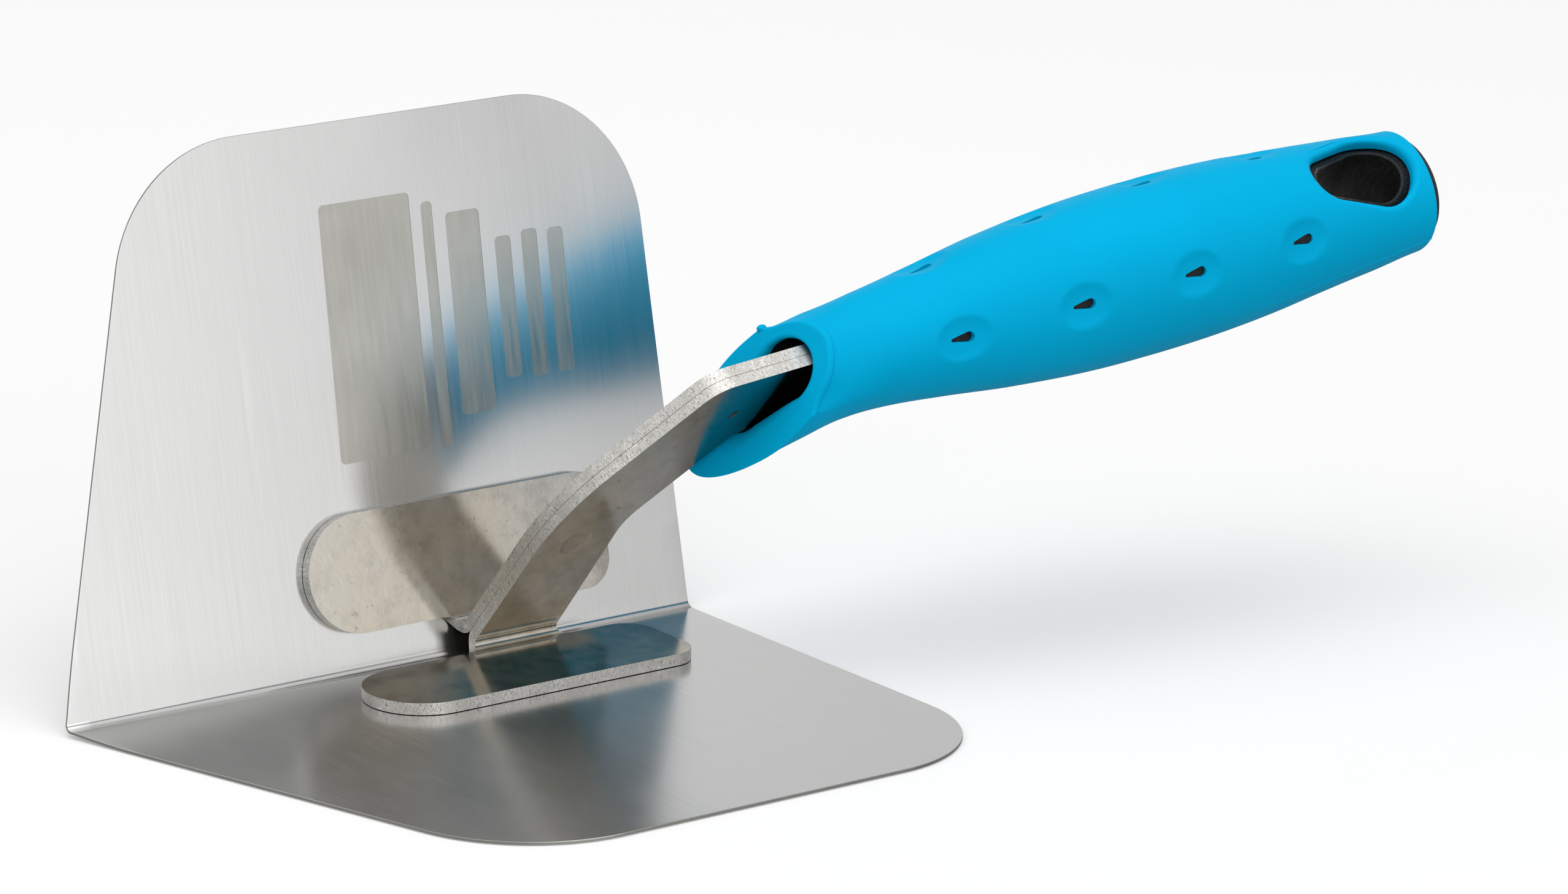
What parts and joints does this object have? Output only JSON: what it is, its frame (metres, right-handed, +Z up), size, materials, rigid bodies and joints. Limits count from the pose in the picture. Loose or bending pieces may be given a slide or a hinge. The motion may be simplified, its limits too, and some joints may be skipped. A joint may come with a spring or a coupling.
{
  "type": "inside corner trowel",
  "caption": "Inside corner trowel: a thin folded steel blade on welded brackets whose shank runs into a soft-grip handle with a hang hole.",
  "frame": {"origin": "middle of the lower wing's underside, the face the trowel stands on", "axes": "+Z up from the lower wing, +Y along the fold from the toe towards the handle, +X from the fold across the lower wing"},
  "size_m": [0.112, 0.239, 0.0893],
  "materials": {
    "corner_blade": "satin",
    "lower_bracket": "mill",
    "upper_bracket": "mill",
    "shank_weld_1": "dull",
    "shank_weld_2": "dull",
    "lower_foot_weld_1": "dull",
    "lower_foot_weld_2": "dull",
    "lower_foot_weld_3": "dull",
    "upper_foot_weld_1": "dull",
    "upper_foot_weld_2": "dull",
    "upper_foot_weld_3": "dull",
    "handle_core": "matte",
    "grip_sleeve": "matte soft"
  },
  "bodies": {
    "root": {"corner_blade": "corner_blade", "lower_bracket": "lower_bracket", "upper_bracket": "upper_bracket", "shank_weld_1": "shank_weld_1", "shank_weld_2": "shank_weld_2", "lower_foot_weld_1": "lower_foot_weld_1", "lower_foot_weld_2": "lower_foot_weld_2", "lower_foot_weld_3": "lower_foot_weld_3", "upper_foot_weld_1": "upper_foot_weld_1", "upper_foot_weld_2": "upper_foot_weld_2", "upper_foot_weld_3": "upper_foot_weld_3", "handle_core": "handle_core", "grip_sleeve": "grip_sleeve"}
  },
  "joints": []
}
